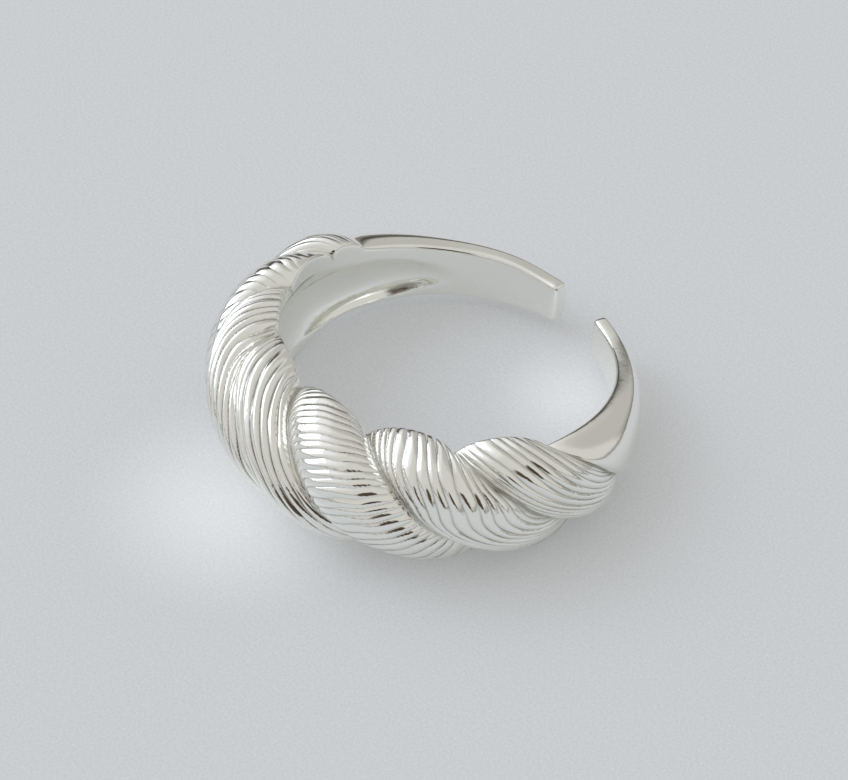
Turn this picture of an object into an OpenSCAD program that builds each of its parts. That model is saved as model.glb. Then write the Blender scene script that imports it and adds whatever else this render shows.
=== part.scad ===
// Twisted open finger ring: one cast piece. The front half is a rope of ribbed lobes, the back half
// a plain tapering shank that stays open at the back. Millimetres and degrees, Z up.
//
// Ring angle: 0 at the front middle (-Y), growing towards +X, 180 in the middle of the gap.
// Section angle: 0 straight out from the finger, 90 at the upper edge, -90 at the lower edge.

/* [Finger hole] */
// Radius of the finger hole
hole_radius = 8.5; // [8:0.1:9.5]
// Ring angle of the left tip of the shank
left_tip_angle = -169.3; // [-172:0.1:-160]
// Ring angle of the right tip of the shank
right_tip_angle = 171.5; // [160:0.1:173]

/* [Lobes] */
// Ring angles of the grooves between the lobes, where they cross the section angle 0
groove_angles = [-83, -57, -31.6, -7, 17.4, 47.1, 76.4, 104]; // each 20 to 32 more than the last
// Slant of each groove, as a share of the leads below
groove_slants = [0.5, 1, 1, 1, 1, 1, 1, 0.8]; // each 0.3 to 1.1
// How far a groove of full slant leads at a section angle, as rows of [section angle, lead]
groove_leads = [
    [-180, 36], [-110, 30], [-90, 26], [-60, 18], [-30, 8], [0, 0],
    [30, -6.5], [60, -14], [90, -20], [110, -23], [180, -28]
]; // leads between -45 and 45, falling as the section angle grows
// Size of the rope along the ring, as rows of [ring angle, thickness, half width]
rope_sizes = [
    [-115, 2.10, 1.75], [-100, 2.55, 2.20], [-85, 2.80, 2.75], [-65, 3.05, 3.10],
    [-35, 3.52, 3.50], [-5, 3.75, 3.45], [25, 4.00, 3.35], [55, 3.55, 3.25],
    [85, 3.05, 2.80], [105, 2.60, 2.15], [125, 1.70, 1.40]
]; // thickness 1.5 to 4.5, half width 1.2 to 4
// Rise of the rope's upper half above the lower half
upper_rise = 0.12; // [0:0.02:0.2]
// Depth of the grooves along the ring, as rows of [ring angle, depth]
groove_depths = [
    [-115, 0.10], [-95, 0.20], [-78, 0.50], [-35, 0.75], [10, 0.80], [55, 0.80], [100, 0.65],
    [120, 0.35]
]; // depth 0.1 to 1
// How much deeper the grooves are at the two rims, as a share of their depth
rim_deeper = 0.4; // [0:0.05:0.5]
// Roundness of a lobe: the larger, the steeper its two flanks
lobe_roundness = 0.9; // [0.6:0.05:0.95]

/* [Ribs] */
// Which lobes have their ribs running across them, 1 for across and 0 for along
ribs_across = [0, 1, 0, 0, 1, 0, 0]; // one figure for each lobe, 0 or 1
// Height of the ribs on the lobes
rib_height = 0.16; // [0:0.02:0.22]
// Number of ribs side by side on a lobe that has them along it
ribs_per_lobe = 9; // [6:1:10]

/* [Shank] */
// Size of the plain shank, as rows of [ring angle, thickness, half width]
shank_sizes = [
    [-172, 1.05, 1.10], [-163, 1.06, 1.16], [-150, 1.13, 1.40], [-127, 1.50, 1.57],
    [-105, 2.12, 1.92], [-92, 2.50, 2.06], [-78, 2.65, 2.45], [-66, 2.80, 2.95],
    [105, 2.30, 2.00], [122, 1.78, 1.82], [136, 1.40, 1.60], [150, 1.08, 1.35],
    [161, 0.98, 1.16], [172, 0.92, 1.14]
]; // thickness 0.8 to 3, half width 0.8 to 3
// Radius of the rounded edges of the two tips
tip_round = 0.25; // [0.15:0.05:0.6]

/* [Hollow] */
// Edges of the hollow scooped out inside the lobes, as rows of [ring angle, upper, lower]
hollow_edges = [
    [-129.2, -0.42, -0.42], [-127, 0.02, -0.62], [-124, 0.38, -0.76], [-117, 0.72, -1.07],
    [-105, 1.02, -1.42], [-93, 1.15, -1.64], [-84, 1.50, -1.76], [-75, 1.95, -1.98],
    [-60, 2.00, -2.05], [-30, 2.15, -2.15], [10, 2.10, -2.05], [45, 1.80, -1.80],
    [55, 1.35, -1.40], [62, 0.75, -0.90], [66, -0.10, -0.10]
]; // heights between -2.4 and 2.4, the two equal where the hollow ends
// Depth of the hollow, as a share of half its height
hollow_share = 0.3; // [0.1:0.05:0.45]
// Least land that is left between the hollow's edges and the rims
hollow_land = 0.2; // [0.1:0.05:0.4]

/* [Rest] */
// Lean of the ring as it lies, with the tips of the shank down
rest_lean = 6.3; // [4:0.1:9]
// Roll of the ring as it lies, about the line from the front to the gap
rest_roll = 0; // [-3:0.1:3]

/* [Hidden] */
ANGLE = 0;
VALUE = 1;
THICKNESS = 1;
HALF_WIDTH = 2;
UPPER_EDGE = 1;
LOWER_EDGE = 2;

// The middle line of the section lies this far out from the finger hole.
section_middle = 0.55;
lobe_count = len(groove_angles) - 1;
columns_per_lobe = 2 * ribs_per_lobe;
left_columns = 17;
right_columns = 16;
tip_columns = 3;
first_groove_column = left_columns;
last_groove_column = left_columns + lobe_count * columns_per_lobe;
column_count = last_groove_column + right_columns + 1;

// Places of the outer rows, from 1 at the upper edge over 0 straight out to -1 at the lower edge.
outer_rows = [
    1, 0.94, 0.88, 0.81, 0.74, 0.67, 0.6, 0.53, 0.46, 0.39, 0.31, 0.23, 0.14, 0.05,
    -0.05, -0.14, -0.23, -0.31, -0.4, -0.49, -0.58, -0.68, -0.78, -0.89, -1
];
// Heights of the inner rows, as shares of the height that they cover.
inner_rows = [-1, -0.72, -0.36, 0, 0.36, 0.72, 1];
row_count = len(outer_rows) + len(inner_rows);
// The body is drawn this far into the finger hole, then cut away there.
inner_margin = 0.6;
// The inner rows cover the hollow and a little more, or this share of the rim if that is more.
row_reach = 1.12;
least_cover = 0.6;
// They stay below this share of the rim, clear of the outer rows.
row_limit = 0.84;
// On the inner side the rope reaches this ring angle, and the slimmer shank follows it.
inner_rope_end = 95;

// Smooth value of a column of a table at an angle: a curve through all the rows.
function row_below(rows, angle, low, high) =
    high - low <= 1 ? low
    : let (half = floor((low + high) / 2))
        rows[half][ANGLE] <= angle ? row_below(rows, angle, half, high)
        : row_below(rows, angle, low, half);

function slope_at(rows, i, column) =
    let (last = len(rows) - 1)
    i == 0 ? (rows[1][column] - rows[0][column]) / (rows[1][ANGLE] - rows[0][ANGLE])
    : i == last ? (rows[last][column] - rows[last - 1][column])
        / (rows[last][ANGLE] - rows[last - 1][ANGLE])
    : (rows[i + 1][column] - rows[i - 1][column]) / (rows[i + 1][ANGLE] - rows[i - 1][ANGLE]);

function from_table(rows, angle, column) =
    let (
        last = len(rows) - 1,
        at = min(max(angle, rows[0][ANGLE]), rows[last][ANGLE]),
        i = row_below(rows, at, 0, last),
        span = rows[i + 1][ANGLE] - rows[i][ANGLE],
        f = (at - rows[i][ANGLE]) / span,
        start = rows[i][column],
        end = rows[i + 1][column]
    )
    start * (2 * pow(f, 3) - 3 * pow(f, 2) + 1)
        + span * slope_at(rows, i, column) * (pow(f, 3) - 2 * pow(f, 2) + f)
        + end * (3 * pow(f, 2) - 2 * pow(f, 3))
        + span * slope_at(rows, i + 1, column) * (pow(f, 3) - pow(f, 2));

// Distance from the section's middle to a rounded outline, at a section angle. On the inner side
// the outline runs well into the finger hole.
inner_out = 2.4;

function oval(section_angle, out, half_width, squareness) =
    pow(
        pow(abs(cos(section_angle)) / out, squareness)
            + pow(abs(sin(section_angle)) / half_width, squareness),
        -1 / squareness
    );

function outline(sizes, ring_angle, section_angle, squareness, rise = 0) =
    oval(
        section_angle,
        cos(section_angle) > 0
            ? from_table(sizes, ring_angle, THICKNESS) - section_middle : inner_out,
        from_table(sizes, ring_angle, HALF_WIDTH) + (section_angle > 0 ? rise : 0),
        squareness
    );

// A lobe seen across: 0 along its crest, 1 down in the grooves on both sides.
function lobe_fall(across) =
    (1 - sqrt(1 - pow(lobe_roundness * across, 2))) / (1 - sqrt(1 - pow(lobe_roundness, 2)));

function is_rib(lobe, column, row) =
    ribs_across[lobe] == 1 ? row % 2 : (column - first_groove_column) % 2;

function rope_distance(ring_angle, section_angle, lobe_place, column, row) =
    let (
        lobe = min(floor(lobe_place), lobe_count - 1),
        across = 2 * (lobe_place - lobe) - 1,
        fine = min(1, from_table(rope_sizes, ring_angle, HALF_WIDTH) / 3)
    )
    outline(rope_sizes, ring_angle, section_angle, 2.15, upper_rise)
        - from_table(groove_depths, ring_angle, VALUE) * lobe_fall(across)
            * (1 + rim_deeper * pow(sin(section_angle), 2))
        + rib_height * fine * (is_rib(lobe, column, row) - 0.65);

function shank_distance(ring_angle, section_angle) =
    outline(shank_sizes, ring_angle, section_angle, 2.4);

// A figure of the grooves, evenly spread over the lobe between two of them.
function between_grooves(figures, lobe_place) =
    let (i = min(floor(lobe_place), lobe_count - 1))
    figures[i] + (figures[i + 1] - figures[i]) * (lobe_place - i);

// The columns of the shank stand a little closer together towards the tip.
function crowd(f) = f + 0.07 * sin(180 * f) * f;

function is_shank(column) = column < first_groove_column || column > last_groove_column;

// Ring angle of a column where it crosses a section angle. The columns of the rope follow the
// grooves. Those of the shank turn from the last groove to the straight tip, and the last few lie
// on the tip's quarter round.
function shank_angle(groove, tip, from_tip, columns) =
    let (
        round_start = tip - sign(tip) * tip_round / hole_radius * 180 / PI,
        f = crowd(1 - (from_tip - tip_columns) / (columns - tip_columns))
    )
    from_tip < tip_columns
        ? tip + (round_start - tip) * (1 - cos(90 * from_tip / tip_columns))
        : groove + (round_start - groove) * f;

function ring_angle_with_lead(column, lead) =
    column < first_groove_column
        ? shank_angle(
            groove_angles[0] + groove_slants[0] * lead, left_tip_angle,
            column, left_columns
        )
    : column > last_groove_column
        ? shank_angle(
            groove_angles[lobe_count] + groove_slants[lobe_count] * lead, right_tip_angle,
            column_count - 1 - column, right_columns
        )
    : let (lobe_place = (column - first_groove_column) / columns_per_lobe)
    between_grooves(groove_angles, lobe_place)
        + between_grooves(groove_slants, lobe_place) * lead;

function ring_angle_at(column, section_angle) =
    ring_angle_with_lead(column, from_table(groove_leads, section_angle, VALUE));

// Half width of a column where it crosses the section angle 0, and the section angle where its
// outline has run inner_margin into the finger hole.
function half_width_of(column) =
    from_table(is_shank(column) ? shank_sizes : rope_sizes, ring_angle_at(column, 0), HALF_WIDTH);

function end_angle(column) = 90 + atan((section_middle + inner_margin) / half_width_of(column));

// A point of the ring. At the two tips every section shrinks towards its middle, in a quarter round.
function ring_point(ring_angle, out, height) =
    let (
        to_tip = min(ring_angle - left_tip_angle, right_tip_angle - ring_angle)
            * PI / 180 * hole_radius,
        f = min(1, max(0, 1 - to_tip / tip_round)),
        inset = tip_round * (1 - sqrt(1 - pow(f, 2))),
        middle = from_table(shank_sizes, ring_angle, THICKNESS) / 2,
        radius = hole_radius + middle + (out - middle) * max(0.15, 1 - inset / middle)
    )
    [
        radius * sin(ring_angle),
        -radius * cos(ring_angle),
        height * (1 - inset / from_table(shank_sizes, ring_angle, HALF_WIDTH))
    ];

// A point of the outer side, as [ring angle, out, height].
function outer_place(column, row) =
    let (
        section_angle = outer_rows[row] * end_angle(column),
        ring_angle = ring_angle_at(column, section_angle),
        distance = is_shank(column)
            ? shank_distance(ring_angle, section_angle)
            : rope_distance(
                ring_angle, section_angle,
                (column - first_groove_column) / columns_per_lobe, column, row
            )
    )
    [ring_angle, section_middle + distance * cos(section_angle), distance * sin(section_angle)];

// Height of the rim over the middle, where a groove crosses it.
function inner_half(ring_angle) =
    let (
        rope = from_table(rope_sizes, ring_angle, HALF_WIDTH)
            - from_table(groove_depths, ring_angle, VALUE) * (1 + rim_deeper),
        shank = from_table(shank_sizes, ring_angle, HALF_WIDTH)
    )
    abs(ring_angle) < inner_rope_end ? rope : min(rope, shank);

// A point of the inner side. It lies inside the finger hole, but for the hollow, which bulges out
// into the metal between its two edges.
function inner_place(column, row) =
    let (
        end = end_angle(column),
        f = row / (len(inner_rows) - 1),
        lead = from_table(groove_leads, -end, VALUE) * (1 - f)
            + from_table(groove_leads, end, VALUE) * f,
        ring_angle = ring_angle_with_lead(column, lead),
        rim = inner_half(ring_angle),
        upper = min(from_table(hollow_edges, ring_angle, UPPER_EDGE), rim - hollow_land),
        lower = max(from_table(hollow_edges, ring_angle, LOWER_EDGE), hollow_land - rim),
        half = (upper - lower) / 2,
        middle = (upper + lower) / 2,
        cover = max(row_reach * half, least_cover * rim),
        row_middle = middle * min(1, half / 0.5),
        height = row_middle
            + inner_rows[row] * min(cover, row_limit * rim - abs(row_middle))
    )
    [
        ring_angle,
        half < 0.03 ? -inner_margin
            : max(-inner_margin, hollow_share * half * (1 - pow((height - middle) / half, 2))),
        height
    ];

function section_points(column) =
    let (
        outer = [for (row = [0:len(outer_rows) - 1]) outer_place(column, row)],
        inner = [for (row = [0:len(inner_rows) - 1]) inner_place(column, row)]
    )
    [for (place = concat(outer, inner)) ring_point(place[0], place[1], place[2])];

// The mean of a section's points: a row of ones adds them up.
ones = [for (row = [0:row_count - 1]) 1];

function middle_of(points) = ones * points / row_count;

// All the sections one after the other, then the middle of the left and of the right end.
function body_points() =
    [
        for (column = [0:column_count - 1]) each section_points(column),
        middle_of(section_points(0)),
        middle_of(section_points(column_count - 1))
    ];

function body_faces() =
    let (
        last = (column_count - 1) * row_count,
        left_middle = column_count * row_count,
        right_middle = left_middle + 1
    )
    [
        for (column = [0:column_count - 2], row = [0:row_count - 1])
            let (
                next = (row + 1) % row_count,
                a = column * row_count + row,
                b = column * row_count + next,
                c = (column + 1) * row_count + next,
                d = (column + 1) * row_count + row
            )
            each [[a, d, b], [b, d, c]],
        for (row = [0:row_count - 1])
            let (next = (row + 1) % row_count)
            each [[left_middle, row, next], [right_middle, last + next, last + row]]
    ];

// The ring as it lies: leaned towards the tips of the shank, set down on the ground and centred.
function leaned(p) =
    [
        p[0],
        p[1] * cos(rest_lean) + p[2] * sin(rest_lean),
        p[2] * cos(rest_lean) - p[1] * sin(rest_lean)
    ];
function rolled(p) =
    [
        p[0] * cos(rest_roll) + p[2] * sin(rest_roll),
        p[1],
        p[2] * cos(rest_roll) - p[0] * sin(rest_roll)
    ];

body = body_points();
resting = [for (p = body) rolled(leaned(p))];
// Only the outer side counts for the extents, since the inner side is cut away.
outside = [
    for (i = [0:column_count * row_count - 1])
        if (i % row_count < len(outer_rows)) resting[i]
];
low_corner = [for (axis = [0:2]) min([for (p = outside) p[axis]])];
high_corner = [for (axis = [0:2]) max([for (p = outside) p[axis]])];
set_down = [
    -(low_corner[0] + high_corner[0]) / 2,
    -(low_corner[1] + high_corner[1]) / 2,
    -low_corner[2]
];

module finger_hole() {
    cylinder(h = 24, r = hole_radius, center = true, $fn = 144);
}

module twisted_ring() {
    color([0.86, 0.86, 0.85])
        translate(set_down)
            rotate([0, rest_roll, 0])
                rotate([-rest_lean, 0, 0])
                    difference() {
                        polyhedron(points = body, faces = body_faces(), convexity = 8);
                        finger_hole();
                    }
}

twisted_ring();
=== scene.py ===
import math

import bpy
import numpy as np
from mathutils import Matrix, Vector


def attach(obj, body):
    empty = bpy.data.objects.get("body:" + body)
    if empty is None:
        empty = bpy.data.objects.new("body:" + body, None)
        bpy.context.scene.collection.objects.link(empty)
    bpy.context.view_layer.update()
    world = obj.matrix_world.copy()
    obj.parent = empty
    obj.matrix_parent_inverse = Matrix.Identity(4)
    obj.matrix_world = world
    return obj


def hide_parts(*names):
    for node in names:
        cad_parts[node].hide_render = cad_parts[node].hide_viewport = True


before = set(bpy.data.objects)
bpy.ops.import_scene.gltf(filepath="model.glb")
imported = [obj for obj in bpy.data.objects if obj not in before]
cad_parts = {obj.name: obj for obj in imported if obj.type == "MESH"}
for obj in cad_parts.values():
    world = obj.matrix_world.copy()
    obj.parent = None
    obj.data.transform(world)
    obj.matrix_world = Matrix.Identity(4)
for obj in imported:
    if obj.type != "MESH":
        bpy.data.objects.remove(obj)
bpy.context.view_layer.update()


# The ring is one piece of cast silver. A straight bar is modelled first, as the goldsmith's wax
# would be rolled: seven ribbed lobes laid round it like a rope, and a slim shank at both ends.
# It is then bent round the finger, leaned back as it lies, and polished.

# A ring angle runs round the finger, from the middle of the twist to the right. A section angle
# runs round the bar: 0 on the outermost line, 90 at the upper rim and -90 at the lower one.
MM_PER_M = 1000
HOLE_RADIUS = 8.5
# How far the middle of a section lies outside the finger hole's wall.
SECTION_MIDDLE = 0.55
LEFT_TIP = -169.3
RIGHT_TIP = 171.5
TIP_ROUND = 0.25
RIM_ROUND = 0.16
# The finger's axis leans towards the tips by so much, and its middle is set down here.
LEAN = 6.3
SET_DOWN = (-0.222, 1.502, 2.731)

# Ring angle of each groove between the lobes, where it crosses the outermost line, its slant below
# and above that line, and the share of its depth that is left at the lower rim.
GROOVES = np.array([
    (-83.0, 0.5, 0.6, 0.1), (-57.0, 1.0, 1.2, 0.6), (-31.6, 1.0, 1.25, 1.0),
    (-7.0, 1.0, 1.15, 1.0), (17.4, 1.0, 1.03, 1.0), (47.1, 1.0, 1.0, 1.0),
    (76.4, 1.0, 1.0, 1.0), (104.0, 0.8, 0.8, 1.0),
])
LOBES = len(GROOVES) - 1
# Section angle, how far a groove of slant 1 leads there.
GROOVE_LEADS = np.array([
    (-180, 36.0), (-110, 30.0), (-90, 26.0), (-60, 18.0), (-30, 8.0), (0, 0.0),
    (30, -6.5), (60, -14.0), (90, -20.0), (110, -23.0), (180, -28.0),
])
# Ring angle, depth of the grooves, which are deeper at the rims by a share of it.
GROOVE_DEPTHS = np.array([
    (-115, 0.10), (-95, 0.20), (-78, 0.50), (-35, 0.75), (10, 0.80), (55, 0.80), (100, 0.65),
    (120, 0.35),
])
RIM_DEEPER = 0.4
# How round a lobe is across: 0 flat, 1 a full half circle.
LOBE_ROUNDNESS = 0.9

# Ring angle, thickness, half width of the rope, whose upper half rises a little more.
ROPE_SIZES = np.array([
    (-115, 2.10, 1.80), (-100, 2.55, 2.30), (-85, 2.80, 2.83), (-65, 3.05, 3.10),
    (-35, 3.61, 3.50), (-5, 3.77, 3.45), (25, 4.00, 3.35), (55, 3.55, 3.25),
    (85, 3.05, 2.80), (105, 2.60, 2.15), (125, 1.70, 1.40),
])
UPPER_RISE = 0.12
# Ring angle, thickness, half width of the shank.
SHANK_SIZES = np.array([
    (-172, 1.035, 1.10), (-163, 1.045, 1.16), (-150, 1.13, 1.40), (-127, 1.50, 1.57),
    (-105, 2.12, 1.92), (-92, 2.50, 2.06), (-78, 2.65, 2.45), (-66, 2.80, 2.95),
    (105, 2.30, 2.00), (122, 1.78, 1.82), (136, 1.40, 1.60), (150, 1.08, 1.35), (161, 0.97, 1.16),
    (172, 0.91, 1.14),
])
# Power of the ovals that the sections are: 2 for an ellipse, more for a squarer one.
ROPE_SQUARENESS = 2.15
SHANK_SQUARENESS = 2.4
# How far the ovals reach on the finger's side, where the hole cuts them off.
ROPE_INWARDS = 2.4
SHANK_INWARDS = 1.4

# The threads of each lobe: how many are passed on the way across it, and how many on one turn
# round the section. Then how many more where they curl, at the left flank and low down, and the
# section angle where the lower curl begins.
THREADS = np.array([
    (6, -2.0, 0, 0, 0), (8, -34, -1, 0, 0), (10.5, -12.0, 0, 0, 0), (9, -1.0, 0, 0, 0),
    (-5, 58, 2, 2.25, 30), (11, -16.5, 0, -14.5, 15), (10, 1.7, 0, -5, 50),
])
# How far the curl reaches in from the flank, in half lobes, and the degrees below its start at
# which the lower curl is full and at which it ends.
FLANK_CURL_REACH = 0.2
LOW_CURL_FULL = 90
LOW_CURL_END = 120
THREAD_HEIGHT = np.array([0.04, 0.05, 0.10, 0.11, 0.06, 0.09, 0.09])
# How flat the threads are: 2 for round ones, more for flat bands with a narrow line between.
THREAD_FLATNESS = np.array([2, 2, 2.5, 2.5, 3, 3, 3])
# Section angle above which the threads of each lobe fade into its smooth rim, and over how much.
THREAD_END = np.array([88, 82, 95, 80, 85, 88, 85])
THREAD_FADE = 18
# Towards both ends the rope gets narrower than this half width, and its threads lower with it.
FULL_THREAD_WIDTH = 3.2
LEAST_THREAD = 0.3
# The share of a thread's height that lies below the lobe's surface.
THREAD_SUNK = 0.8
# How suddenly the threads end at a lobe's two flanks.
FLANK_POWER = 16
# Cut by hand, they waver from thread to thread, along their length and across a lobe: by what part
# of a thread, and how fast. Their heights differ too, by a share, in waves of their own.
WIDTH_WAVER, WIDTH_WAVE = 0.12, 1.7
LENGTH_WAVER, LENGTH_WAVE = 0.1, 11
FLANK_WAVER, FLANK_WAVE = 0.06, 9
HEIGHT_WAVER, HEIGHT_WAVE, HEIGHT_LENGTH_WAVE = 0.3, 2.4, 7

# Ring angle, upper and lower edge of the hollow that is scooped out inside the lobes.
HOLLOW_EDGES = np.array([
    (-129.2, -0.42, -0.42), (-127, 0.02, -0.64), (-124, 0.38, -0.84), (-117, 0.72, -1.22),
    (-105, 1.02, -1.62), (-93, 1.15, -1.85), (-84, 1.50, -2.00), (-75, 1.95, -2.15),
    (-60, 2.00, -2.20), (-30, 2.15, -2.20), (10, 2.10, -2.05), (45, 1.80, -1.80),
    (55, 1.35, -1.40), (62, 0.75, -0.90), (66, -0.10, -0.10),
])
# Its depth as a share of half its width, the width below which it gets shallower, and the least
# width that is reckoned with. It fades out over the land beside the rims.
HOLLOW_DEPTH = 0.33
HOLLOW_WIDE = 1.5
HOLLOW_NARROWEST = 0.01
RIM_LAND = 0.2
# Height on the inner wall within which the upper and the lower lean of a slice are evened out.
EVEN_BELOW = 1.0

# The bar's grid: rows round the section, with the rim's row, and columns along the bar.
BAR_ROWS = 190
RIM_ROW = 77
LOBE_COLUMNS = [36, 50, 74, 74, 58, 74, 72]
SHANK_COLUMNS = 40
GROOVE_COLUMNS = SHANK_COLUMNS + np.concatenate([[0], np.cumsum(LOBE_COLUMNS)])
BAR_COLUMNS = int(GROOVE_COLUMNS[-1]) + SHANK_COLUMNS
BAR_LENGTH = math.radians(RIGHT_TIP - LEFT_TIP) * HOLE_RADIUS
# Radius of the round rod that the bar is pressed from.
ROD_RADIUS = 2.5
# Columns over which a shank rises to the rope that it meets, and the small scoop on the right.
LEFT_MEETING = 16
RIGHT_MEETING = 6
SCOOP_COLUMNS = 4
SCOOP_DEPTH = 0.12


def size_at(rows, place, column=1):
    """The smooth value of a table's column at a place along it."""
    at, value = rows[:, 0], rows[:, column]
    slope = np.empty(len(at))
    slope[1:-1] = (value[2:] - value[:-2]) / (at[2:] - at[:-2])
    slope[0] = (value[1] - value[0]) / (at[1] - at[0])
    slope[-1] = (value[-1] - value[-2]) / (at[-1] - at[-2])
    place = np.clip(place, at[0], at[-1])
    i = np.clip(np.searchsorted(at, place) - 1, 0, len(at) - 2)
    span = at[i + 1] - at[i]
    f = (place - at[i]) / span
    return (value[i] * (2 * f**3 - 3 * f**2 + 1) + span * slope[i] * (f**3 - 2 * f**2 + f)
            + value[i + 1] * (3 * f**2 - 2 * f**3) + span * slope[i + 1] * (f**3 - f**2))


def ring_angle(column, section_angle):
    """Where a column lies round the finger: along the grooves, then easing to the straight tip."""
    at_groove = np.interp(column, GROOVE_COLUMNS, GROOVES[:, 0])
    slant = np.where(
        section_angle > 0, np.interp(column, GROOVE_COLUMNS, GROOVES[:, 2]),
        np.interp(column, GROOVE_COLUMNS, GROOVES[:, 1]))
    angle = at_groove + slant * size_at(GROOVE_LEADS, section_angle)
    left = np.clip(1 - column / SHANK_COLUMNS, 0, 1)
    right = np.clip((column - GROOVE_COLUMNS[-1]) / SHANK_COLUMNS, 0, 1)
    left, right = (0.5 - 0.5 * np.cos(math.pi * share) for share in (left, right))
    return angle + (LEFT_TIP - angle) * left + (RIGHT_TIP - angle) * right


def oval(section_angle, outwards, inwards, half_width, squareness):
    """Distance from the middle of a section to its rounded outline."""
    c, s = np.cos(np.radians(section_angle)), np.sin(np.radians(section_angle))
    reach = np.where(c > 0, outwards, inwards)
    return ((np.abs(c) / reach) ** squareness + (np.abs(s) / half_width) ** squareness) ** (
        -1 / squareness)


def thread_place(column, section_angle):
    """The lobe that a column lies on, how far across it, and the count of its threads there."""
    place = np.interp(column, GROOVE_COLUMNS, np.arange(LOBES + 1))
    lobe = np.minimum(np.floor(place), LOBES - 1).astype(int)
    across = 2 * (place - lobe) - 1
    turn = np.arcsin(LOBE_ROUNDNESS * across) / (2 * math.asin(LOBE_ROUNDNESS))
    side_by_side, along, flank_curl, low_curl, curl_start = THREADS[lobe].T
    low = np.clip(curl_start - section_angle, 0, LOW_CURL_END) / LOW_CURL_FULL
    count = (side_by_side * turn + along * section_angle / 360
             + flank_curl * np.exp(-(1 + across) / FLANK_CURL_REACH) + low_curl * low**2)
    # The lobe's number shifts each wave, so that no two lobes waver alike.
    count = (count + WIDTH_WAVER * np.sin(WIDTH_WAVE * count + lobe)
             + LENGTH_WAVER * np.sin(section_angle / LENGTH_WAVE + 2 * lobe))
    return lobe, across, count + FLANK_WAVER * np.sin(FLANK_WAVE * across + 1.3 * lobe)


def thread_share(lobe, section_angle):
    """1 where a lobe's threads are whole, falling to 0 where they have faded into its rim."""
    return np.clip(1 - (section_angle - THREAD_END[lobe]) / THREAD_FADE, 0, 1)


def outline(column, section_angle, threads):
    """Distance from the middle of the section to the silver's surface."""
    angle = ring_angle(column, section_angle)
    shank = oval(section_angle, size_at(SHANK_SIZES, angle) - SECTION_MIDDLE, SHANK_INWARDS,
                 size_at(SHANK_SIZES, angle, 2), SHANK_SQUARENESS)
    half_width = size_at(ROPE_SIZES, angle, 2)
    rope = oval(section_angle, size_at(ROPE_SIZES, angle) - SECTION_MIDDLE, ROPE_INWARDS,
                half_width + np.where(section_angle > 0, UPPER_RISE, 0), ROPE_SQUARENESS)
    to_rim = np.sin(np.radians(section_angle)) ** 2
    left_below = np.interp(column, GROOVE_COLUMNS, GROOVES[:, 3])
    depth = size_at(GROOVE_DEPTHS, angle) * (1 + RIM_DEEPER * to_rim)
    depth = depth * np.where(section_angle < 0, 1 - (1 - left_below) * to_rim, 1)
    lobe, across, count = thread_place(column, section_angle)
    fall = (1 - np.sqrt(1 - (LOBE_ROUNDNESS * across) ** 2)) / (
        1 - math.sqrt(1 - LOBE_ROUNDNESS**2))
    lobed = rope - depth * fall
    if threads:
        ridge = (1 - np.abs(np.cos(math.pi * count)) ** THREAD_FLATNESS[lobe]) * (
            1 - np.abs(across) ** FLANK_POWER)
        fine = np.clip(half_width / FULL_THREAD_WIDTH, LEAST_THREAD, 1) * thread_share(
            lobe, section_angle)
        uneven = 1 + HEIGHT_WAVER * np.sin(
            HEIGHT_WAVE * count + section_angle / HEIGHT_LENGTH_WAVE)
        lobed = lobed + THREAD_HEIGHT[lobe] * fine * uneven * (ridge - THREAD_SUNK)
    beyond = np.maximum(GROOVE_COLUMNS[0] - column, column - GROOVE_COLUMNS[-1])
    meeting = np.clip(1 - beyond / np.where(
        column < BAR_COLUMNS / 2, LEFT_MEETING, RIGHT_MEETING), 0, 1) ** 2
    shank = shank + (rope - depth - shank) * meeting
    # A shallow scoop where the shank's upper face meets the last lobe.
    scoop = np.exp(-((column - GROOVE_COLUMNS[-1] - SCOOP_COLUMNS) / SCOOP_COLUMNS) ** 2)
    shank = shank - SCOOP_DEPTH * scoop * np.clip(np.sin(np.radians(section_angle)), 0, 1) ** 2
    return np.where(beyond > 0, shank, lobed)


# The bar: a round rod is cut into fine slices, and its surface is pressed to the rope's outline.
bpy.ops.object.select_all(action="DESELECT")
bpy.ops.mesh.primitive_cylinder_add(
    vertices=BAR_ROWS, radius=ROD_RADIUS / MM_PER_M, depth=BAR_LENGTH / MM_PER_M,
    end_fill_type="NGON", rotation=(0, math.pi / 2, 0))
ring = bpy.context.object
ring.name = "silver_ring"
bpy.ops.object.transform_apply(location=False, rotation=True, scale=False)
bpy.ops.object.mode_set(mode="EDIT")
bpy.ops.mesh.select_mode(type="EDGE")
bpy.ops.mesh.select_all(action="DESELECT")
bpy.ops.object.mode_set(mode="OBJECT")
for edge in ring.data.edges:
    a, b = (ring.data.vertices[i].co for i in edge.vertices)
    edge.select = abs(a.x - b.x) > BAR_LENGTH / MM_PER_M / 2
bpy.ops.object.mode_set(mode="EDIT")
bpy.ops.mesh.subdivide_edgering(number_cuts=BAR_COLUMNS - 1, interpolation="LINEAR")
bpy.ops.object.mode_set(mode="OBJECT")

point = np.empty(len(ring.data.vertices) * 3)
ring.data.vertices.foreach_get("co", point)
point = point.reshape(-1, 3) * MM_PER_M
column = np.rint((point[:, 0] / BAR_LENGTH + 0.5) * BAR_COLUMNS).astype(int)
row = np.rint(np.degrees(np.arctan2(point[:, 2], -point[:, 1])) / 360 * BAR_ROWS).astype(int)

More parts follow.
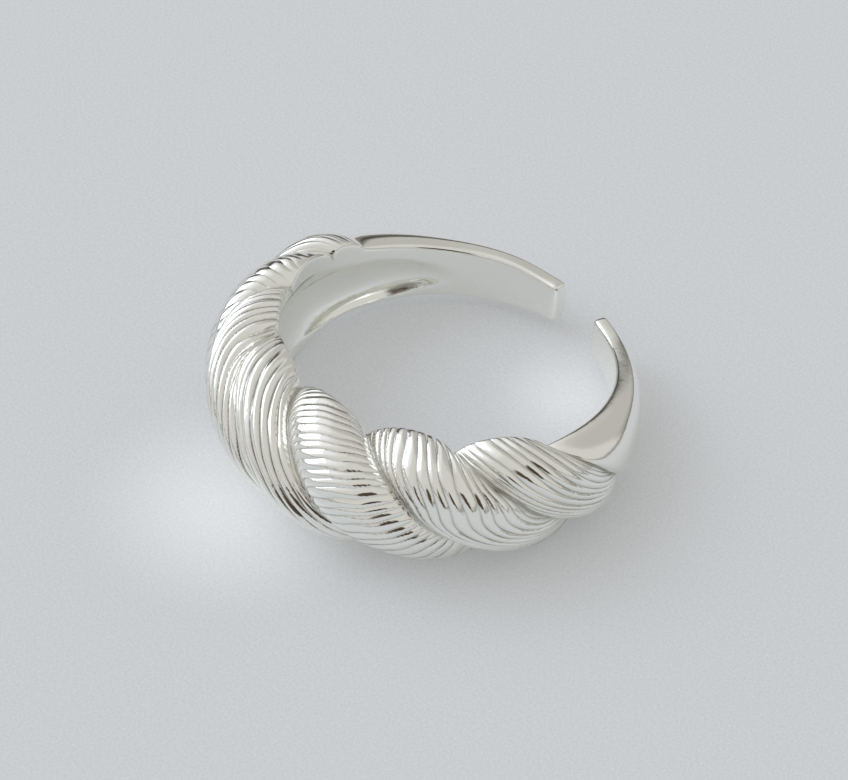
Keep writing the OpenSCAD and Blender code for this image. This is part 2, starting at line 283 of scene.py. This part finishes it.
# The section angles where each slice's outline runs into the finger hole, above and below. They
# are found by halving the span between the first and the last angle that they can have.
FIRST_ANGLE, LAST_ANGLE = 90.0, 178.0
HALVINGS = 24
every_column = np.arange(BAR_COLUMNS + 1)
rim_angle = {}
for side in (1, -1):
    low, high = (np.full(len(every_column), a) for a in (FIRST_ANGLE, LAST_ANGLE))
    for _ in range(HALVINGS):
        half = (low + high) / 2
        distance = outline(every_column, side * half, False)
        outside = SECTION_MIDDLE + distance * np.cos(np.radians(half)) > 0
        low, high = np.where(outside, half, low), np.where(outside, high, half)
    rim_angle[side] = side * (low + high) / 2
upper, lower = rim_angle[1][column], rim_angle[-1][column]

# The outer side, with its edges to the finger hole rounded over.
rim_share = row / RIM_ROW
section_angle = np.where(rim_share > 0, rim_share * upper, -rim_share * lower)
angle = ring_angle(column, section_angle)
distance = outline(column, section_angle, True)
out = np.maximum(SECTION_MIDDLE + distance * np.cos(np.radians(section_angle)), 0)
height = distance * np.sin(np.radians(section_angle))
near_rim = np.clip(1 - out / RIM_ROUND, 0, 1)
height = height - np.sign(height) * RIM_ROUND * (1 - np.sqrt(1 - near_rim**2))

# The inner side: the finger hole's wall from the upper rim to the lower, with the hollow in it.
inner = np.abs(row) > RIM_ROW
top = outline(column, upper, True) * np.sin(np.radians(upper)) - RIM_ROUND
bottom = outline(column, lower, True) * np.sin(np.radians(lower)) + RIM_ROUND
way_down = ((row % BAR_ROWS) - RIM_ROW) / (BAR_ROWS - 2 * RIM_ROW)
inner_height = top * (1 - way_down) + bottom * way_down
# A slice leans on that wall as it does at the height where it reaches it, and evens out between.
up_angle, down_angle = (90 + np.degrees(np.arctan2(
    SECTION_MIDDLE, np.maximum(side * inner_height, EVEN_BELOW))) for side in (1, -1))
upper_share = np.clip((inner_height / EVEN_BELOW + 1) / 2, 0, 1)
inner_angle = (ring_angle(column, up_angle) * upper_share
               + ring_angle(column, -down_angle) * (1 - upper_share))
upper_lip, lower_lip = (size_at(HOLLOW_EDGES, inner_angle, lip) for lip in (1, 2))
wide = np.maximum(upper_lip - lower_lip, HOLLOW_NARROWEST)
dip = 1 - np.clip(2 * (inner_height - lower_lip) / wide - 1, -1, 1) ** 2
land = np.clip((top - inner_height) / RIM_LAND, 0, 1) * np.clip(
    (inner_height - bottom) / RIM_LAND, 0, 1)
inner_out = HOLLOW_DEPTH * wide / 2 * np.clip(wide / HOLLOW_WIDE, 0, 1) * dip * land
angle = np.where(inner, inner_angle, angle)
height = np.where(inner, inner_height, height)
out = np.where(inner, inner_out, out)

# The ends of the two tips are rounded over all round.
to_tip = np.radians(np.minimum(angle - LEFT_TIP, RIGHT_TIP - angle)) * HOLE_RADIUS
inset = TIP_ROUND * (1 - np.sqrt(1 - np.clip(1 - to_tip / TIP_ROUND, 0, 1) ** 2))
middle = size_at(SHANK_SIZES, angle) / 2
out = middle + (out - middle) * (1 - inset / middle)
height = height * (1 - inset / size_at(SHANK_SIZES, angle, 2))
point = np.stack([np.radians(angle) * HOLE_RADIUS, -out, height], 1) / MM_PER_M
ring.data.vertices.foreach_set("co", point.ravel())

# For the polish: the count of the threads, how strong they are, and the dirt and painted shade in
# the grooves between the lobes.
# Strong threads are this high, and they fade over an eighth of a half lobe at its flanks.
STRONG_THREAD = 0.13
FLANK_FADE = 1 / 8
# How dark the dirt and painted shade at the lobes' flanks gets, and how close to the flanks it
# stays.
GROOVE_DIRT_AND_SHADE = 0.7
GROOVE_DIRT_AND_SHADE_POWER = 20
lobe, across, count = thread_place(column, section_angle)
on_rope = (column > GROOVE_COLUMNS[0]) & (column <= GROOVE_COLUMNS[-1] + 1) & ~inner
strength = THREAD_HEIGHT[lobe] / STRONG_THREAD * np.clip(
    (1 - np.abs(across)) / FLANK_FADE, 0, 1) * thread_share(lobe, section_angle)
for name, value in (
    ("thread_count", count),
    ("thread_strength", np.where(on_rope, strength, 0)),
    ("grooves_dirt_and_shade", np.where(on_rope, GROOVE_DIRT_AND_SHADE * np.abs(across) ** GROOVE_DIRT_AND_SHADE_POWER, 0)),
):
    kept = ring.data.attributes.new(name, "FLOAT", "POINT")
    kept.data.foreach_set("value", value.astype(np.float32))
ring.data.update()

# Bent round the finger, moved so that the finger's axis is at the origin, leaned and set down.
bend = ring.modifiers.new("bend", "SIMPLE_DEFORM")
bend.deform_method = "BEND"
bend.deform_axis = "Z"
bend.angle = float(np.ptp(point[:, 0])) * MM_PER_M / HOLE_RADIUS
bpy.ops.object.modifier_apply(modifier="bend")
ring.location = (0, -HOLE_RADIUS / MM_PER_M, 0)
bpy.ops.object.transform_apply(location=True, rotation=False, scale=False)
ring.rotation_euler = (math.radians(-LEAN), 0, 0)
ring.location = [v / MM_PER_M for v in SET_DOWN]
bpy.ops.object.transform_apply(location=True, rotation=True, scale=False)
bpy.ops.object.mode_set(mode="EDIT")
bpy.ops.mesh.select_all(action="SELECT")
bpy.ops.mesh.normals_make_consistent(inside=False)
bpy.ops.object.mode_set(mode="OBJECT")
bpy.ops.object.shade_smooth()

# The polish: bright silver with fine wear, and darker lines between the threads, tinted as oxide
# and painted shade.
BRIGHT_SILVER = (0.95, 0.95, 0.905)
OXIDE_AND_SHADE_TINT = (0.36, 0.34, 0.30)
LINE_SHARPNESS = 6
# Cells to the metre and detail of the mottles in the oxide and painted shade of the lines, the
# gloss and the fine wear.
OXIDE_AND_SHADE_PATCHES = (700, 2)
GLOSS_PATCHES = (900, 4)
FINE_WEAR = (1500, 3)
OXIDE_AND_SHADE_STRENGTH = 1.5
GLOSS_FROM, GLOSS_TO = 0.3, 0.7
SHINIEST, DULLEST = 0.06, 0.15
WEAR_ON_THREADS = 0.45
WEAR_ALL_OVER = 0.12
WEAR_DEPTH = 0.00006


def kept_value(name):
    """The socket of a value that the ring's points carry."""
    node = nodes.new("ShaderNodeAttribute")
    node.attribute_name = name
    return node.outputs["Fac"]


def sum_of(operation, *values):
    """The result of a sum on sockets and plain numbers."""
    node = nodes.new("ShaderNodeMath")
    node.operation = operation
    for socket, value in zip(node.inputs, values):
        if isinstance(value, (int, float)):
            socket.default_value = value
        else:
            links.new(value, socket)
    return node.outputs[0]


def cloud(cells, detail):
    """A soft mottle over the piece, so many cells to the metre."""
    node = nodes.new("ShaderNodeTexNoise")
    node.inputs["Scale"].default_value = cells
    node.inputs["Detail"].default_value = detail
    links.new(place.outputs["Object"], node.inputs["Vector"])
    return node.outputs["Fac"]


def spread(value, start, end, least=0.0, most=1.0, easing="SMOOTHSTEP"):
    """A value that runs from start to end, spread from least to most."""
    node = nodes.new("ShaderNodeMapRange")
    node.interpolation_type = easing
    node.inputs["From Min"].default_value = start
    node.inputs["From Max"].default_value = end
    node.inputs["To Min"].default_value = least
    node.inputs["To Max"].default_value = most
    links.new(value, node.inputs["Value"])
    return node.outputs["Result"]


def toned(under, over, share):
    """A colour with another laid over it by a share. The first may be a socket."""
    node = nodes.new("ShaderNodeMix")
    node.data_type = "RGBA"
    if isinstance(under, tuple):
        node.inputs["A"].default_value = (*under, 1)
    else:
        links.new(under, node.inputs["A"])
    node.inputs["B"].default_value = (*over, 1)
    links.new(share, node.inputs["Factor"])
    return node.outputs["Result"]


def raised(height, depth, strength=1.0):
    """The normal of a surface with fine relief on it."""
    node = nodes.new("ShaderNodeBump")
    node.inputs["Strength"].default_value = strength
    node.inputs["Distance"].default_value = depth
    links.new(height, node.inputs["Height"])
    return node.outputs["Normal"]


silver = bpy.data.materials.new("polished_silver")
silver.use_nodes = True
nodes, links = silver.node_tree.nodes, silver.node_tree.links
shader = nodes["Principled BSDF"]
shader.inputs["Metallic"].default_value = 1.0
place = nodes.new("ShaderNodeTexCoord")
# 0 in the middle of a thread, 1 down in the line between two threads.
to_line = sum_of("SUBTRACT", 1, sum_of("MULTIPLY", sum_of(
    "PINGPONG", kept_value("thread_count"), 0.5), 2))
# The lines between threads, and the grooves between lobes, are tinted darker: oxide and painted
# shade.
line = sum_of(
    "MULTIPLY", sum_of("POWER", to_line, LINE_SHARPNESS), kept_value("thread_strength"))
patchy = sum_of("MULTIPLY", line, sum_of("MULTIPLY", cloud(*OXIDE_AND_SHADE_PATCHES), OXIDE_AND_SHADE_STRENGTH))
oxide_and_shade = sum_of("MAXIMUM", patchy, kept_value("grooves_dirt_and_shade"))
links.new(toned(BRIGHT_SILVER, OXIDE_AND_SHADE_TINT, oxide_and_shade), shader.inputs["Base Color"])
gloss = spread(cloud(*GLOSS_PATCHES), GLOSS_FROM, GLOSS_TO, SHINIEST, DULLEST, "LINEAR")
links.new(gloss, shader.inputs["Roughness"])
worn = sum_of("MULTIPLY", cloud(*FINE_WEAR), sum_of(
    "ADD", sum_of("MULTIPLY", kept_value("thread_strength"), WEAR_ON_THREADS), WEAR_ALL_OVER))
links.new(raised(sum_of("SUBTRACT", worn, line), WEAR_DEPTH), shader.inputs["Normal"])
ring.data.materials.append(silver)
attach(ring, "root")
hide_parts("twisted_ring")


# The table: smooth pale plaster with a fine grain. Painted light: the plaster glows in two soft
# patches where the silver would throw light back, before the twist and inside the ring, and glows
# faintly all over to fill its shadows.
TABLE_WIDTH = 2.0
DARK_GRAIN = (0.36, 0.375, 0.395)
PALE_GRAIN = (0.52, 0.545, 0.565)
# Cells to the metre and detail of the grain.
GRAIN = (7000, 2)
GRAIN_DEPTH, GRAIN_STRENGTH = 0.0001, 0.25
PLASTER_ROUGHNESS = 0.85
PLASTER_SHEEN = 0.2
FILL_LIGHT = 0.225
# Middle of each painted patch of light on the plaster, its radius, its strength.
LIGHT_PATCHES = (
    ((-0.0015, -0.0105, 0), 0.0088, 0.17),
    ((0.0025, 0.0075, 0), 0.0048, 0.13),
)
bpy.ops.object.select_all(action="DESELECT")
bpy.ops.mesh.primitive_plane_add(size=TABLE_WIDTH, location=(0, 0, 0))
table = bpy.context.object
table.name = "pale_table"
plaster = bpy.data.materials.new("pale_plaster")
plaster.use_nodes = True
nodes, links = plaster.node_tree.nodes, plaster.node_tree.links
shader = nodes["Principled BSDF"]
shader.inputs["Roughness"].default_value = PLASTER_ROUGHNESS
shader.inputs["Specular IOR Level"].default_value = PLASTER_SHEEN
shader.inputs["Emission Color"].default_value = (1.0, 1.0, 1.0, 1)
place = nodes.new("ShaderNodeTexCoord")
grain = cloud(*GRAIN)
links.new(toned(DARK_GRAIN, PALE_GRAIN, grain), shader.inputs["Base Color"])
glow = FILL_LIGHT
for spot, radius, strength in LIGHT_PATCHES:
    away = nodes.new("ShaderNodeVectorMath")
    away.operation = "DISTANCE"
    away.inputs[1].default_value = spot
    links.new(place.outputs["Object"], away.inputs[0])
    glow = sum_of("ADD", glow, spread(away.outputs["Value"], radius, 0.0, most=strength))
links.new(glow, shader.inputs["Emission Strength"])
links.new(raised(grain, GRAIN_DEPTH, GRAIN_STRENGTH), shader.inputs["Normal"])
table.data.materials.append(plaster)


# The room: pale walls, brighter about the window, and darker things low all round. Furniture
# stands at the far wall, a cupboard beside it, and the viewer's side is dark.
WINDOW_SIDE = Vector((-0.725, -0.381, 0.574))
FAR_SIDE = Vector((-0.797, 0.605, 0.0))
VIEWER_SIDE = Vector((0.854, -0.477, 0.208))
CUPBOARD_SIDE = Vector((-0.186, 0.818, 0.545))
WALL = (0.64, 0.63, 0.605)
WALL_BY_WINDOW = (0.90, 0.92, 0.95)
LOW_THINGS = (0.14, 0.12, 0.10)
FURNITURE = (0.07, 0.065, 0.055)
NEAR_DARK = (0.07, 0.05, 0.035)
CUPBOARD = (0.49, 0.48, 0.455)
# Sine of the height in view, how much of the furniture is there.
FURNITURE_BAND = (
    (0.0, 0.45), (0.10, 0.55), (0.20, 1.0), (0.33, 1.0), (0.40, 0.25), (0.52, 0.0),
)
# The lower things reach up to the first of these sines, and are as dense as they get at the second.
LOW_TOP, LOW_FULL, LOW_MOST = 0.18, 0.06, 0.6


def facing_share(direction, start, end):
    """How far a view faces a direction: 0 up to the cosine start, 1 from the cosine end."""
    dot = nodes.new("ShaderNodeVectorMath")
    dot.operation = "DOT_PRODUCT"
    dot.inputs[1].default_value = direction
    links.new(place.outputs["Generated"], dot.inputs[0])
    return spread(dot.outputs["Value"], start, end)


room = bpy.data.worlds.new("pale_room")
bpy.context.scene.world = room
room.use_nodes = True
nodes, links = room.node_tree.nodes, room.node_tree.links
place = nodes.new("ShaderNodeTexCoord")
rise = nodes.new("ShaderNodeSeparateXYZ")
links.new(place.outputs["Generated"], rise.inputs[0])
band = nodes.new("ShaderNodeValToRGB")
for sine, density in FURNITURE_BAND:
    stop = band.color_ramp.elements.new(sine)
    stop.color = (density, density, density, 1)
# A new ramp's own last stop, at 1, is taken away.
band.color_ramp.elements.remove(band.color_ramp.elements[-1])
links.new(rise.outputs["Z"], band.inputs["Fac"])
furniture = sum_of(
    "MULTIPLY", band.outputs["Color"], facing_share(FAR_SIDE, start=0.2, end=0.75))
seen = toned(WALL, WALL_BY_WINDOW, facing_share(WINDOW_SIDE, start=0.45, end=0.95))
seen = toned(seen, LOW_THINGS, spread(rise.outputs["Z"], LOW_TOP, LOW_FULL, most=LOW_MOST))
seen = toned(seen, FURNITURE, furniture)
seen = toned(seen, NEAR_DARK, facing_share(VIEWER_SIDE, start=0.925, end=0.955))
seen = toned(seen, CUPBOARD, facing_share(CUPBOARD_SIDE, start=0.83, end=0.95))
links.new(seen, nodes["Background"].inputs["Color"])
bpy.context.scene.view_settings.view_transform = "Standard"


# The light: a wide window of twelve panes high on the left, so that the polished silver shows
# its bars, and the sky outside, which is brighter than the part of it that the silver shows.
WINDOW_AWAY = 2.0
PANE = 0.52
PANE_STEP = 0.57
PANE_POWER = 1.05
SKY = 0.7
SKY_POWER = 4.0
DAYLIGHT = (0.86, 0.93, 1.0)
window_turn = (-WINDOW_SIDE).to_track_quat("-Z", "Y")


def daylight(name, size, power, across=0.0, up=0.0):
    """A square of daylight in the window, so many steps across and up from its middle."""
    lamp = bpy.data.lights.new(name, "AREA")
    lamp.shape = "SQUARE"
    lamp.size = size
    lamp.energy = power
    lamp.color = DAYLIGHT
    square = bpy.data.objects.new(name, lamp)
    square.location = WINDOW_SIDE * WINDOW_AWAY + window_turn @ Vector((
        across * PANE_STEP, up * PANE_STEP, 0))
    square.rotation_euler = window_turn.to_euler()
    bpy.context.scene.collection.objects.link(square)
    return square


for across in (-1.5, -0.5, 0.5, 1.5):
    for up in (-1, 0, 1):
        daylight("window_pane", PANE, PANE_POWER, across, up)
daylight("sky_outside", SKY, SKY_POWER).visible_glossy = False


# The camera: the photograph's, found by fitting the ring's outline.
AZIMUTH, ELEVATION = math.radians(52.8), math.radians(43.4)
DISTANCE = 0.250
PIXELS_PER_MM = 19.79
IMAGE_POINT = (444.4, 416.1)
IMAGE_SIZE = (848, 780)
SENSOR_WIDTH = 36
CLIP_START = 0.01
back = Vector((
    math.sin(AZIMUTH) * math.cos(ELEVATION), -math.cos(AZIMUTH) * math.cos(ELEVATION),
    math.sin(ELEVATION),
))
right = Vector((math.cos(AZIMUTH), math.sin(AZIMUTH), 0))
lens = bpy.data.cameras.new("camera")
lens.sensor_fit = "HORIZONTAL"
lens.sensor_width = SENSOR_WIDTH
lens.lens = PIXELS_PER_MM * DISTANCE * MM_PER_M / IMAGE_SIZE[0] * SENSOR_WIDTH
lens.shift_x = (IMAGE_SIZE[0] / 2 - IMAGE_POINT[0]) / IMAGE_SIZE[0]
lens.shift_y = (IMAGE_POINT[1] - IMAGE_SIZE[1] / 2) / IMAGE_SIZE[0]
lens.clip_start = CLIP_START
camera = bpy.data.objects.new("camera", lens)
bpy.context.scene.collection.objects.link(camera)
aim = Vector((SET_DOWN[0] / MM_PER_M, SET_DOWN[1] / MM_PER_M, 0))
stand = Matrix((right, back.cross(right), back)).transposed().to_4x4()
stand.translation = aim + back * DISTANCE
camera.matrix_world = stand
bpy.context.scene.camera = camera
